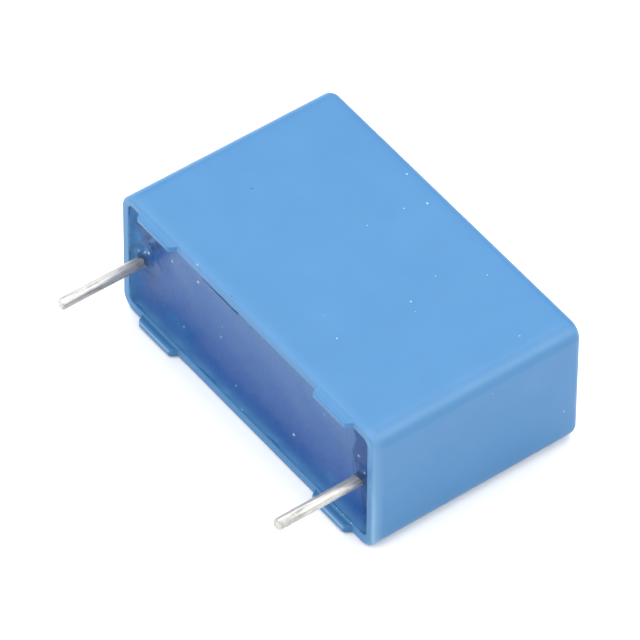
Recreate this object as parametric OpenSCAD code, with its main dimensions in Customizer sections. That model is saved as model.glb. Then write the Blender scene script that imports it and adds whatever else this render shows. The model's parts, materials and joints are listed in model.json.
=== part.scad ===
// Box film capacitor with two straight leads, in millimetres.
//
// A pressed film winding with sprayed metal ends sits in a moulded case, which is filled with resin.
// The wires are welded to the sprayed ends and leave through the resin.
//
// The origin is midway between the leads on the seating plane, which the tips of the feet share.
// +X runs along the row of leads, +Y from the seating plane into the body, +Z through the thickness.

/* [Case] */
// Distance from the axis of a lead to the nearest end of the case
lead_inset = 1.75; // [1.5:0.05:3]
// Thickness of the case, between its two large faces
case_thickness = 10.1; // [8.5:0.1:13]
// Height of the case, from the rim of its mouth to its closed end
case_height = 16; // [14:0.5:20]
// Thickness of the side walls
wall = 0.7; // [0.6:0.05:0.9]
// Thickness of the closed end
end_wall = 1; // [0.8:0.1:1.5]
// Radius of the four edges that run from the rim to the closed end
edge_radius = 1.2; // [1.1:0.1:1.8]
// Rounding round the closed end
end_round = 0.6; // [0.3:0.1:1]
// Rounding of the rim's outer edge
rim_round = 0.2; // [0.1:0.05:0.3]
// Rounding inside the closed end
inner_round = 0.3; // [0.1:0.1:0.4]

/* [Feet] */
// Height of the feet, from the rim to the seating plane
foot_height = 0.5; // [0.3:0.1:1]
// Width of a foot where it leaves the rim
foot_root = 3.8; // [3:0.1:5]
// Width of a foot at its tip
foot_tip = 3.2; // [2:0.1:3.8]
// Distance from the end of the case to the nearest foot
foot_from_end = 2.05; // [1.5:0.05:4]
// Step from the large face back to the outer face of a foot
foot_step = 0.1; // [0.05:0.05:0.2]
// Ledge of the rim between the inner face of a foot and the cavity
foot_ledge = 0.1; // [0.05:0.05:0.2]

/* [Leads] */
// Distance between the two leads
lead_pitch = 22.5; // [15:0.5:37.5]
// Diameter of the wire
lead_diameter = 0.8; // [0.6:0.1:1]
// Length of a lead beyond the seating plane
lead_length = 5.5; // [3:0.5:25]
// Chamfer of the cut end
lead_chamfer = 0.1; // [0.05:0.05:0.2]
// How far a wire is set outwards between its weld and the pitch
lead_set_out = 0.6; // [0.52:0.02:0.8]
// Length of wire that is welded to the sprayed end
weld_length = 6; // [3:0.5:7]
// Depth that the weld sinks the wire into the sprayed metal
weld_sink = 0.1; // [0.05:0.05:0.2]

/* [Film element] */
// Gap between the winding and each large side of the cavity
side_gap = 0.4; // [0.2:0.1:0.8]
// Gap between the winding and the closed end of the cavity
end_gap = 0.4; // [0.2:0.1:1]
// Thickness of the sprayed metal on each end of the winding
spray_thickness = 0.45; // [0.3:0.05:0.6]
// Chamfer round the outer face of the sprayed metal
spray_chamfer = 0.2; // [0.1:0.05:0.25]

/* [Resin] */
// Depth of the resin's flat middle below the rim
resin_recess = 0.6; // [0.5:0.1:1]
// Cover of resin over the winding
resin_cover = 1.4; // [1:0.1:2.5]
// Radius of the concave edge of the resin
meniscus_radius = 0.6; // [0.5:0.1:0.8]
// Part of the concave edge that the wall cuts off, measured into the wall
meniscus_cut = 0.05; // [0.02:0.01:0.1]
// Corner radius of the resin's concave edge, seen from the mouth
meniscus_corner = 1; // [0.9:0.1:1.5]
// Depth of the resin in the corners of the case, below the rim
corner_recess = 0.15; // [0.05:0.05:0.2]
// Height of the collar of resin that climbs each lead
collar_height = 0.45; // [0.2:0.05:0.45]
// Reach of the collar round the lead, at its base
collar_reach = 0.45; // [0.2:0.05:0.6]
// Thickness of the collar at its top
collar_skin = 0.06; // [0.05:0.01:0.1]

/* [Hidden] */
$fn = 72;

case_blue = [0.40, 0.62, 0.84];
resin_blue = [0.34, 0.47, 0.68];
film_silver = [0.78, 0.80, 0.82];
spray_grey = [0.62, 0.62, 0.60];
tinned_grey = [0.80, 0.80, 0.78];

// How far one solid runs past another where it cuts or joins it
pass = 0.5;

// The case and its cavity
rim_y = foot_height;
case_length = lead_pitch + 2 * lead_inset;
cavity_length = case_length - 2 * wall;
cavity_thickness = case_thickness - 2 * wall;
cavity_corner = edge_radius - wall;
cavity_floor = rim_y + case_height - end_wall;

// The resin
resin_y = rim_y + resin_recess;

// The right triangle whose small angle each of the wire's two equal bends turns through. Its sides are
// whole numbers, so that the ends of the bends fall on round sizes.
triangle_short = 7;
triangle_long = 24;
triangle_slope = 25;

// The wire, from the rim to its weld
lead_radius = lead_diameter / 2;
lead_x = lead_pitch / 2;
bend_angle = atan(triangle_short / triangle_long);
lead_bend = lead_set_out / (2 * (1 - triangle_long / triangle_slope));
weld_x = lead_x - lead_set_out;
weld_y = rim_y + 2 * lead_bend * triangle_short / triangle_slope;
collar_x = lead_x - lead_bend + sqrt(pow(lead_bend, 2) - pow(resin_recess, 2));

// The winding and its sprayed ends
spray_face = weld_x - lead_radius + weld_sink;
winding_length = 2 * (spray_face - spray_thickness);
winding_radius = cavity_thickness / 2 - side_gap;
winding_near = resin_y + resin_cover;
winding_far = cavity_floor - end_gap;

// Stands what is drawn upwards along +Y, from the height y
module along_y(y) {
    translate([0, y, 0]) rotate([-90, 0, 0]) children();
}

// Makes the left piece of a pair from the right one
module on_left() {
    mirror([1, 0, 0]) children();
}

// Rectangle with round corners, centred
module round_rectangle(length, width, radius) {
    square([length - 2 * radius, width], center = true);
    square([length, width - 2 * radius], center = true);
    for (x = [-1, 1], y = [-1, 1])
        translate([x * (length / 2 - radius), y * (width / 2 - radius)]) circle(radius);
}

module quarter_disc(radius) {
    intersection() {
        circle(radius);
        square(radius);
    }
}

// Section of a slab from its middle to its edge, whose upper edge is rounded
module rounded_section(reach, round) {
    if (reach > round) square([reach - round, round]);
    translate([reach - round, 0]) quarter_disc(round);
}

// Bar of that section, centred on X, with its rounded edge towards +Y and +Z
module rounded_bar(length, reach, round) {
    rotate([90, 0, 90]) linear_extrude(length, center = true) rounded_section(reach, round);
}

// Top layer of a slab with round corners: its upper edge is rounded all the way round
module rounded_layer(length, width, corner, round) {
    for (side = [0, 180]) rotate([0, 0, side]) {
        rounded_bar(length - 2 * corner, width / 2, round);
        rotate([0, 0, 90]) rounded_bar(width - 2 * corner, length / 2, round);
    }
    for (x = [-1, 1], y = [-1, 1])
        translate([x * (length / 2 - corner), y * (width / 2 - corner), 0])
            rotate([0, 0, x > 0 ? (y > 0 ? 0 : 270) : (y > 0 ? 90 : 180)])
                rotate_extrude(angle = 90) rounded_section(corner, round);
}

// Slab with round corners, whose lower and upper edges may be rounded as well
module rounded_slab(length, width, height, corner, low_round, high_round) {
    translate([0, 0, low_round])
        linear_extrude(height - low_round - high_round) round_rectangle(length, width, corner);
    translate([0, 0, height - high_round]) rounded_layer(length, width, corner, high_round);
    if (low_round > 0)
        translate([0, 0, low_round]) mirror([0, 0, 1]) rounded_layer(length, width, corner, low_round);
}

// Space inside the case, open past the rim
module cavity() {
    along_y(rim_y - pass)
        rounded_slab(cavity_length, cavity_thickness, cavity_floor - rim_y + pass,
            cavity_corner, 0, min(inner_round, cavity_corner));
}

// One foot, with sloping ends, on the +Z side
module foot() {
    tip = foot_tip / 2;
    root = foot_root / 2;
    translate([case_length / 2 - foot_from_end - root, 0, case_thickness / 2 - wall + foot_ledge])
        linear_extrude(wall - foot_ledge - foot_step)
            polygon([[-tip, 0], [tip, 0], [root, rim_y], [root, rim_y + pass], [-root, rim_y + pass],
                [-root, rim_y]]);
}

// Air over the resin: what lies above its corners, and the dish with its concave edge
module air() {
    along_y(rim_y - pass)
        linear_extrude(pass + corner_recess) square([case_length, case_thickness], center = true);
    along_y(rim_y - pass)
        rounded_slab(cavity_length + 2 * meniscus_cut, cavity_thickness + 2 * meniscus_cut,
            pass + resin_recess, meniscus_corner, 0, meniscus_radius);
}

// Collar of resin round the right lead
module collar() {
    translate([collar_x, 0, 0]) along_y(resin_y - collar_height)
        cylinder(h = collar_height, r1 = lead_radius + collar_skin, r2 = lead_radius + collar_reach);
}

// Right wire: straight to the rim, set inwards by two equal bends, then straight along its weld
module wire() {
    translate([lead_x, 0, 0]) {
        along_y(-lead_length) cylinder(h = lead_chamfer, r1 = lead_radius - lead_chamfer, r2 = lead_radius);
        along_y(-lead_length + lead_chamfer)
            cylinder(h = rim_y + lead_length - lead_chamfer, r = lead_radius);
    }
    translate([lead_x - lead_bend, rim_y, 0]) wire_bend();
    translate([weld_x + lead_bend, weld_y, 0]) rotate([0, 0, 180]) wire_bend();
    translate([weld_x, 0, 0]) along_y(weld_y) cylinder(h = weld_length, r = lead_radius);
}

// One bend: the start of a quarter ring, cut off at the bend's angle
module wire_bend() {
    difference() {
        rotate_extrude(angle = 90) translate([lead_bend, 0]) circle(lead_radius);
        rotate([0, 0, bend_angle]) translate([0, 0, -lead_diameter])
            cube([lead_bend + lead_diameter, lead_bend + lead_diameter, 2 * lead_diameter]);
    }
}

// Flat oval plate in the winding's outline, chamfered round its +X face
module oval_plate(thickness, chamfer) {
    centres = [winding_near + winding_radius, winding_far - winding_radius];
    flat = thickness - chamfer;
    rotate([0, 90, 0]) {
        linear_extrude(flat) translate([-winding_radius, centres[0]])
            square([2 * winding_radius, centres[1] - centres[0]]);
        for (y = centres)
            translate([0, y, 0]) {
                cylinder(h = flat, r = winding_radius);
                if (chamfer > 0)
                    translate([0, 0, flat])
                        cylinder(h = chamfer, r1 = winding_radius, r2 = winding_radius - chamfer);
            }
    }
    if (chamfer > 0)
        translate([flat, centres[1], 0]) rotate([90, 0, 0])
            linear_extrude(centres[1] - centres[0])
                polygon([[0, -winding_radius], [chamfer, chamfer - winding_radius],
                    [chamfer, winding_radius - chamfer], [0, winding_radius]]);
}

module winding_form() {
    translate([-winding_length / 2, 0, 0]) oval_plate(winding_length, 0);
}

// Right sprayed end, before the weld sinks the wire into it
module spray_form() {
    translate([winding_length / 2, 0, 0]) oval_plate(spray_thickness, spray_chamfer);
}

module spray() {
    difference() {
        spray_form();
        wire();
    }
}

module case() {
    color(case_blue) difference() {
        union() {
            along_y(rim_y)
                rounded_slab(case_length, case_thickness, case_height, edge_radius, rim_round, end_round);
            for (turn = [0, 180]) rotate([0, turn, 0]) {
                foot();
                on_left() foot();
            }
        }
        cavity();
    }
}

module epoxy_fill() {
    color(resin_blue) difference() {
        cavity();
        difference() {
            air();
            collar();
            on_left() collar();
        }
        winding_form();
        spray_form();
        on_left() spray_form();
        wire();
        on_left() wire();
    }
}

module film_winding() {
    color(film_silver) winding_form();
}

module end_spray_left() {
    color(spray_grey) on_left() spray();
}

module end_spray_right() {
    color(spray_grey) spray();
}

module lead_left() {
    color(tinned_grey) on_left() wire();
}

module lead_right() {
    color(tinned_grey) wire();
}

case();
epoxy_fill();
film_winding();
end_spray_left();
end_spray_right();
lead_left();
lead_right();
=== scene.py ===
"""Dresses the box film capacitor: its moulded case, cast resin, tinned leads and hidden film element.

Lengths are in metres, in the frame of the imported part: X along the row of leads, Y from the seating
plane into the body, Z up through the thickness. The part lies on its lower large face. Where a class or a
field holds millimetres instead, its docstring or comment says so.
"""

from __future__ import annotations

import json
import logging
import math
from dataclasses import dataclass, field
from enum import Enum

import bpy
import numpy as np
from mathutils import Matrix, Vector

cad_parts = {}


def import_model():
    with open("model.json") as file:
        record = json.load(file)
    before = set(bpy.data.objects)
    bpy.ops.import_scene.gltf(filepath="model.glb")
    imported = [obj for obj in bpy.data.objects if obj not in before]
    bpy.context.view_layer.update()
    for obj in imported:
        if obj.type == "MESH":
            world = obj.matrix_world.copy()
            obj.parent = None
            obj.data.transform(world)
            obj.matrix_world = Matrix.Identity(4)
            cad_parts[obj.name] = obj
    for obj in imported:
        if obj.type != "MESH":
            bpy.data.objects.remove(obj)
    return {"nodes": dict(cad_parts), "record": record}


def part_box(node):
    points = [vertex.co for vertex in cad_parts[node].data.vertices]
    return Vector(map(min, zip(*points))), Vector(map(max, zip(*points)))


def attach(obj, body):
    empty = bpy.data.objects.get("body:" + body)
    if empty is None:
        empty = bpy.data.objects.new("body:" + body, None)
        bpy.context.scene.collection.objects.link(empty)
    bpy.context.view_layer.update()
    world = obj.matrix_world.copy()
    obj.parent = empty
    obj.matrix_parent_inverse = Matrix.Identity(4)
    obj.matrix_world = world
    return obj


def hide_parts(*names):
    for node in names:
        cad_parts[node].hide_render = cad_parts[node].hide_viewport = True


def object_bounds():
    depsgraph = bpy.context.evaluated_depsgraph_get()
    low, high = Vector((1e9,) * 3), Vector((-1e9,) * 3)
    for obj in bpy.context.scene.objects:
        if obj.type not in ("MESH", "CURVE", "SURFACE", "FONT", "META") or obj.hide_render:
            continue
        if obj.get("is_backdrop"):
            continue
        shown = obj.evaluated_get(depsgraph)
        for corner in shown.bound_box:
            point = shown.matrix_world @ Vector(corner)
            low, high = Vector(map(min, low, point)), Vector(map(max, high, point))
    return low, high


log = logging.getLogger("capacitor")

MM = 0.001
UM = 0.000001
FULL_TURN = 2 * math.pi
QUARTER_TURN = math.pi / 2
UP = np.array([0.0, 0.0, 1.0])
BODY = "root"

Array = np.ndarray
Box = tuple[Vector, Vector]
Colour = tuple[float, float, float, float]
Material = bpy.types.Material
Mesh = bpy.types.Mesh
Node = bpy.types.Node
Object = bpy.types.Object
Socket = bpy.types.NodeSocket
Tree = bpy.types.NodeTree


class Slot(Enum):
    """Material slots of the record that new pieces take."""

    CASE = "case_plastic"
    RESIN = "potting_resin"
    WIRE = "tinned_wire"


class End(Enum):
    """The two ends of the part, by the sign of their X."""

    LEFT = -1
    RIGHT = 1


class Skin(Enum):
    """Fields that a mesh carries to its finish, each from 0 to 1."""

    WEAR = "wear"
    SHEEN = "sheen"
    FILM = "film"
    MURK = "murk"
    GLOSS = "gloss"
    AIR = "air"


# ---------------------------------------------------------------------------------------------------
# Surfaces worked out as arrays


def span(start: float, stop: float, step: float) -> Array:
    """Even stations from start to stop, both included, about a step apart."""
    return np.linspace(start, stop, max(2, int(round(abs(stop - start) / step)) + 1))


def column(values: Array | float) -> Array:
    """Values as one column, which spreads over the stations of a row."""
    return np.reshape(values, (-1, 1))


def ease(t: Array) -> Array:
    """Smooth step: 0 below 0, 1 above 1, and 3t^2 - 2t^3 between."""
    t = np.clip(t, 0, 1)
    return t * t * (3 - 2 * t)


def ramp(t: Array, start: float, stop: float) -> Array:
    """Smooth step from 0 at the start to 1 at the stop, whichever of them is larger."""
    return ease((t - start) / (stop - start))


def window(t: Array, start: float, stop: float, soft: float) -> Array:
    """1 from start to stop, with a smooth step of the soft length inside each end, and 0 outside."""
    return ease((t - start) / soft) * ease((stop - t) / soft)


def mound(t: Array) -> Array:
    """Smooth mound: (1 - t^2)^2 for t from -1 to 1, and 0 beyond."""
    return np.clip(1 - t * t, 0, None) ** 2


def bell(t: Array) -> Array:
    """Bell curve: e to the power of -t^2."""
    return np.exp(-t * t)


def fade(distance: Array, reach: float) -> Array:
    """Exponential fall: 1 at no distance and 1/e at the reach."""
    return np.exp(-distance / reach)


@dataclass(frozen=True)
class Waver:
    """Smooth random relief over two coordinates, between about minus and plus its size.

    The sum of plane cosine waves, each with its own seeded direction, phase and length near the given
    wavelength, divided by the root of half their number and by their usual peak.
    """

    size: float
    wavelength: float
    seed: int
    waves: int = 7
    lengths: tuple[float, float] = (0.65, 1.5)
    peak: float = 1.6

    def at(self, a: Array, b: Array, sibling: int = 0) -> Array:
        """Relief at points.

        Args:
            a: First coordinate.
            b: Second coordinate, of the same shape.
            sibling: Added to the seed, for another relief of the same kind.

        Returns:
            The relief, in the shape of a and b.
        """
        draw = np.random.default_rng(self.seed + sibling)
        heading = draw.uniform(0, FULL_TURN, self.waves)
        phase = draw.uniform(0, FULL_TURN, self.waves)
        pace = FULL_TURN / (self.wavelength * draw.uniform(*self.lengths, self.waves))
        travel = a[..., None] * np.cos(heading) + b[..., None] * np.sin(heading)
        total = np.cos(travel * pace + phase).sum(axis=-1)
        return self.size * (total / math.sqrt(self.waves / 2) / self.peak)


@dataclass(frozen=True)
class Patch:
    """A grid of points, rows by columns by XYZ, whose columns close into loops."""

    points: Array

    def faces(self) -> Array:
        """Four-sided faces between neighbouring rows and columns."""
        rows, columns = self.points.shape[:2]
        row, place = np.meshgrid(np.arange(rows - 1), np.arange(columns), indexing="ij")
        beside = (place + 1) % columns
        corners = (row * columns + place, row * columns + beside,
                   (row + 1) * columns + beside, (row + 1) * columns + place)
        return np.stack(corners, axis=-1).reshape(-1, 4)


def enclosed_volume(points: Array, quads: Array) -> float:
    """Signed volume: the sum over each quad's two triangles of a . (b x c) / 6.

    Args:
        points: Points by XYZ.
        quads: Four-sided faces.

    Returns:
        The volume, which is positive if the faces look outwards.
    """
    total = 0.0
    for pick in ((0, 1, 2), (0, 2, 3)):
        a, b, c = (points[quads[:, i]] for i in pick)
        total += float(np.einsum("ij,ij->", a, np.cross(b, c))) / 6
    return total


def weld(points: Array, quads: Array, hair: float = 0.05 * UM) -> tuple[Array, list[list[int]]]:
    """Merges points that share a place and drops the corners that a face then has twice.

    Args:
        points: All the points.
        quads: Four-sided faces.
        hair: Points on the same cell of a lattice this fine are one.

    Returns:
        The points that are left, and the faces with three or four corners.
    """
    lattice = np.round(points / hair).astype(np.int64)
    _, first, place = np.unique(lattice, axis=0, return_index=True, return_inverse=True)
    renamed = place.reshape(-1)[quads]
    repeats = renamed == np.roll(renamed, 1, axis=1)
    whole = renamed[~repeats.any(axis=1)]
    one_twice = repeats.sum(axis=1) == 1
    triangles = renamed[one_twice][~repeats[one_twice]].reshape(-1, 3)
    straight = (triangles[:, 0] != triangles[:, 2]) & (triangles[:, 0] != triangles[:, 1])
    return points[first], whole.tolist() + triangles[straight].tolist()


def make_piece(name: str, patches: list[Patch], material: Material, replaced: str) -> Object:
    """Joins closed patches into one object that stands for a node of the frame.

    Each patch is turned so that its volume is positive, then points closer than a hair are merged, which
    closes the poles, and faces left without area are removed.

    Args:
        name: Name of the object.
        patches: Closed surfaces.
        material: Finish of the whole piece.
        replaced: Node that the piece stands for.

    Returns:
        The object, at the origin, riding on the body.
    """
    points, quads, count = [], [], 0
    for patch in patches:
        flat = patch.points.reshape(-1, 3)
        faces = patch.faces()
        if enclosed_volume(flat, faces) < 0:
            faces = faces[:, ::-1]
        points.append(flat)
        quads.append(faces + count)
        count += len(flat)
    vertices, faces = weld(np.concatenate(points), np.concatenate(quads))
    mesh = bpy.data.meshes.new(name)
    mesh.from_pydata(vertices.tolist(), [], faces)
    mesh.validate()
    mesh.polygons.foreach_set("use_smooth", np.ones(len(mesh.polygons), dtype=bool))
    mesh.materials.append(material)
    mesh.update()
    piece = bpy.data.objects.new(name, mesh)
    bpy.context.scene.collection.objects.link(piece)
    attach(piece, BODY)
    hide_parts(replaced)
    log.info("%s: %d vertices, %d faces", name, len(mesh.vertices), len(mesh.polygons))
    return piece


def mesh_points(mesh: Mesh) -> Array:
    """Points of a mesh by XYZ."""
    points = np.empty(len(mesh.vertices) * 3)
    mesh.vertices.foreach_get("co", points)
    return points.reshape(-1, 3)


def write_field(mesh: Mesh, skin: Skin, values: Array) -> None:
    """Writes one value for each point of a mesh as the attribute that the finish reads."""
    mesh.attributes.new(skin.value, "FLOAT", "POINT").data.foreach_set("value", values)


@dataclass
class RoundedLoop:
    """Rounded rectangle in the XZ plane, described by the path that its corner centres span.

    A station has a point on that path and an outward direction. The loop at some inset from the outermost
    outline is the point plus the direction times (radius - inset), so insets share their stations.
    """

    half_length: float
    half_thickness: float
    radius: float
    along: Array
    across: Array
    corner_steps: int = 14
    centres: Array = field(init=False)
    facing: Array = field(init=False)

    def __post_init__(self) -> None:
        """Works out the stations once: side, corner, side, corner, all the way round."""
        turn = np.linspace(0, QUARTER_TURN, self.corner_steps + 2)[1:-1]
        far_x, far_z = self.half_length - self.radius, self.half_thickness - self.radius
        top = np.stack([self.along, np.full_like(self.along, far_z)], 1)
        end = np.stack([np.full_like(self.across, far_x), self.across[::-1]], 1)
        corner = np.tile([far_x, far_z], (len(turn), 1))
        arc = np.stack([np.sin(turn), np.cos(turn)], 1)
        half = np.concatenate([top, corner, end, corner * [1, -1]])
        facing = np.concatenate([np.tile([0.0, 1.0], (len(top), 1)), arc,
                                 np.tile([1.0, 0.0], (len(end), 1)), arc[::-1] * [1, -1]])
        self.centres = np.concatenate([half, -half])
        self.facing = np.concatenate([facing, -facing])

    def with_steps(self, along: float, across: float, corner_steps: int) -> RoundedLoop:
        """The same outline with evenly spaced stations, about a step apart along and across."""
        far_x, far_z = self.half_length - self.radius, self.half_thickness - self.radius
        return RoundedLoop(self.half_length, self.half_thickness, self.radius, span(-far_x, far_x, along),
                           span(-far_z, far_z, across), corner_steps)

    def ring(self, inset: Array, depth: Array) -> Array:
        """Points at insets and depths, given as rows by stations or rows by one.

        Args:
            inset: How far in from the outermost outline.
            depth: Y of the points.

        Returns:
            Rows by stations by XYZ.
        """
        shape = (max(len(inset), len(depth)), len(self.centres))
        reach = np.broadcast_to(self.radius - inset, shape)
        flat = self.centres + reach[..., None] * self.facing
        return np.stack([flat[..., 0], np.broadcast_to(depth, shape), flat[..., 1]], axis=-1)

    def shrink(self, inset: float, share: Array) -> tuple[Array, Array]:
        """Loops that shrink from the outline at an inset on to the middle line between the two ends.

        Args:
            inset: Inset of the outline.
            share: 1 on the outline and 0 on the middle line, one value for each row.

        Returns:
            X and Z, rows by stations.
        """
        outline = self.centres + (self.radius - inset) * self.facing
        limit = self.half_length - self.half_thickness
        middle = np.clip(outline[:, 0], -limit, limit)
        share = column(share)
        return middle + share * (outline[:, 0] - middle), share * outline[:, 1]


# ---------------------------------------------------------------------------------------------------
# Shader nodes


@dataclass
class Graph:
    """Short way to add and join the nodes of one material or node group."""

    tree: Tree

    def node(self, kind: str, inputs: dict | None = None, **settings: object) -> Node:
        """Adds a node.

        Args:
            kind: Blender's type name of the node.
            inputs: Values, or output sockets to join, by input name or number.
            settings: Properties of the node.

        Returns:
            The node.
        """
        node = self.tree.nodes.new(kind)
        for name, value in settings.items():
            setattr(node, name, value)
        for name, value in (inputs or {}).items():
            if isinstance(value, Socket):
                self.tree.links.new(value, node.inputs[name])
            else:
                node.inputs[name].default_value = value
        return node

    def math(self, operation: str, *values: object) -> Socket:
        """One Math node, joined to sockets or set to numbers."""
        return self.node("ShaderNodeMath", dict(enumerate(values)), operation=operation).outputs[0]

    def mix(self, share: object, first: object, second: object) -> Socket:
        """One Mix node between two colours, whose colour sockets come after its numbers and vectors."""
        factor, colour_a, colour_b, result = 0, 6, 7, 2
        inputs = {factor: share, colour_a: first, colour_b: second}
        return self.node("ShaderNodeMix", inputs, data_type="RGBA").outputs[result]

    def noise(self, vector: Socket, scale: object, detail: float, roughness: float = 0.5) -> Socket:
        """One Noise Texture node's value."""
        return self.node("ShaderNodeTexNoise", {"Vector": vector, "Scale": scale, "Detail": detail,
                                                "Roughness": roughness}).outputs[0]

    def group(self, tree: Tree, **inputs: object) -> Socket:
        """One use of a node group, by the names of its inputs in small letters."""
        named = {name.title(): value for name, value in inputs.items()}
        return self.node("ShaderNodeGroup", named, node_tree=tree).outputs[0]


@dataclass
class GroupGraph(Graph):
    """A node group while it is built, with its input sockets by name."""

    given: dict[str, Socket]

    @classmethod
    def start(cls, name: str, output: str, **inputs: float | None) -> GroupGraph:
        """Starts a node group.

        Args:
            name: Name of the group.
            output: Name of its one number output.
            inputs: Default of each number input, or None for a vector.

        Returns:
            The group, whose output isn't joined yet.
        """
        tree = bpy.data.node_groups.new(name, "ShaderNodeTree")
        for label, default in inputs.items():
            kind = "NodeSocketVector" if default is None else "NodeSocketFloat"
            socket = tree.interface.new_socket(label, in_out="INPUT", socket_type=kind)
            if default is not None:
                socket.default_value = default
        tree.interface.new_socket(output, in_out="OUTPUT", socket_type="NodeSocketFloat")
        start = Graph(tree).node("NodeGroupInput")
        return cls(tree, {label: start.outputs[label] for label in inputs})

    def finish(self, result: Socket) -> Tree:
        """Joins the result to the output."""
        self.node("NodeGroupOutput", {0: result})
        return self.tree


@dataclass(frozen=True)
class SharedEffects:
    """Node groups that more than one finish uses, built once."""

    mottle: Tree
    grain: Tree
    specks: Tree

    @classmethod
    def build(cls) -> SharedEffects:
        """Builds the three groups."""
        return cls(cls._mottle(), cls._grain(), cls._specks())

    @staticmethod
    def _mottle() -> Tree:
        """Slow cloudy change between Low and High."""
        group = GroupGraph.start("cloudy_mottle", "Value", Vector=None, Scale=300.0, Low=0.0, High=1.0)
        given = group.given
        noise = group.noise(given["Vector"], given["Scale"], detail=3.0, roughness=0.55)
        spread = group.node("ShaderNodeMapRange", {"Value": noise, "From Min": 0.32, "From Max": 0.68,
                                                   "To Min": given["Low"], "To Max": given["High"]})
        return group.finish(spread.outputs[0])

    @staticmethod
    def _grain() -> Tree:
        """Fine height of an eroded tool surface: fine noise on top of noise four times as coarse."""
        group = GroupGraph.start("fine_grain", "Height", Vector=None, Scale=6000.0)
        place, scale = group.given["Vector"], group.given["Scale"]
        coarseness, coarse_share = 0.25, 0.7
        fine = group.noise(place, scale, detail=4.0, roughness=0.6)
        coarse = group.noise(place, group.math("MULTIPLY", scale, coarseness), detail=2.0)
        return group.finish(group.math("MULTIPLY_ADD", coarse, coarse_share, fine))

    @staticmethod
    def _specks() -> Tree:
        """Mask of scattered specks: small discs in the few cells whose own random number is low."""
        group = GroupGraph.start("scattered_specks", "Mask", Vector=None, Scale=900.0, Share=0.1, Size=0.2)
        given = group.given
        cells = group.node("ShaderNodeTexVoronoi", {"Vector": given["Vector"], "Scale": given["Scale"]})
        chance = group.node("ShaderNodeSeparateColor", {"Color": cells.outputs["Color"]})
        chosen = group.math("LESS_THAN", chance.outputs[0], given["Share"])
        size = group.math("MULTIPLY", chance.outputs[1], given["Size"])
        near = group.math("LESS_THAN", cells.outputs["Distance"], size)
        return group.finish(group.math("MULTIPLY", chosen, near))


def srgb(red: int, green: int, blue: int) -> Colour:
    """Linear colour of an sRGB colour given in 0 to 255."""
    def linear(part: int) -> float:
        """Undoes the sRGB curve for one channel."""
        level = part / 255
        return level / 12.92 if level <= 0.04045 else ((level + 0.055) / 1.055) ** 2.4
    return linear(red), linear(green), linear(blue), 1.0


@dataclass
class FinishGraph(Graph):
    """Nodes of one material: its shader, its Object coordinates and the shared effects laid on them."""

    material: Material
    shader: Node
    place: Socket
    effects: SharedEffects

    def stretched(self, *scale: float) -> Socket:
        """Object coordinates scaled on each axis."""
        return self.node("ShaderNodeMapping", {"Vector": self.place, "Scale": scale}).outputs[0]

    def cloud(self, scale: float, low: float = 0.0, high: float = 1.0,
              place: Socket | None = None) -> Socket:
        """Cloudy mottle between low and high."""
        return self.group(self.effects.mottle, vector=place or self.place, scale=scale, low=low, high=high)

    def grain(self, scale: float, place: Socket | None = None) -> Socket:
        """Height of a fine grain."""
        return self.group(self.effects.grain, vector=place or self.place, scale=scale)

    def specks(self, scale: float, share: float, size: float) -> Socket:
        """Mask of scattered specks."""
        return self.group(self.effects.specks, vector=self.place, scale=scale, share=share, size=size)

    def skin(self, skin: Skin) -> Socket:
        """A field that the mesh carries."""
        return self.node("ShaderNodeAttribute", attribute_name=skin.value).outputs["Fac"]

    def bump(self, height: Socket, depth: float, strength: float = 1.0) -> None:
        """Feeds the shader's normal from a height, whose 1 is as deep as the given depth."""
        inputs = {"Height": height, "Distance": depth, "Strength": strength}
        self.feed(Normal=self.node("ShaderNodeBump", inputs).outputs[0])

    def feed(self, **sockets: Socket) -> None:
        """Joins sockets to the shader's inputs, by name with _ for a space."""
        for label, socket in sockets.items():
            self.tree.links.new(socket, self.shader.inputs[label.replace("_", " ")])


@dataclass(frozen=True)
class Finish:
    """What the finishes share: a named material with one shader."""

    effects: SharedEffects
    name: str = "finish"

    def start(self, **constants: float) -> FinishGraph:
        """Starts the material.

        Args:
            constants: Values of the shader's own sockets, by name with _ for a space.

        Returns:
            Its nodes, with the shader joined to the output.
        """
        material = bpy.data.materials.new(self.name)
        material.use_nodes = True
        graph = Graph(material.node_tree)
        graph.tree.nodes.clear()
        values = {label.replace("_", " "): value for label, value in constants.items()}
        shader = graph.node("ShaderNodeBsdfPrincipled", values)
        graph.node("ShaderNodeOutputMaterial", {"Surface": shader.outputs[0]})
        place = graph.node("ShaderNodeTexCoord").outputs["Object"]
        return FinishGraph(graph.tree, material, shader, place, self.effects)


@dataclass(frozen=True)
class Speck:
    """A round mark on the case: its place and its radius in millimetres."""

    x: float
    y: float
    z: float
    radius: float

    def mask(self, graph: Graph, place: Socket) -> Socket:
        """1 within the radius and 0 beyond."""
        middle = (self.x * MM, self.y * MM, self.z * MM)
        away = graph.node("ShaderNodeVectorMath", {0: place, 1: middle}, operation="DISTANCE")
        return graph.math("LESS_THAN", away.outputs["Value"], self.radius * MM)


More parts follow.
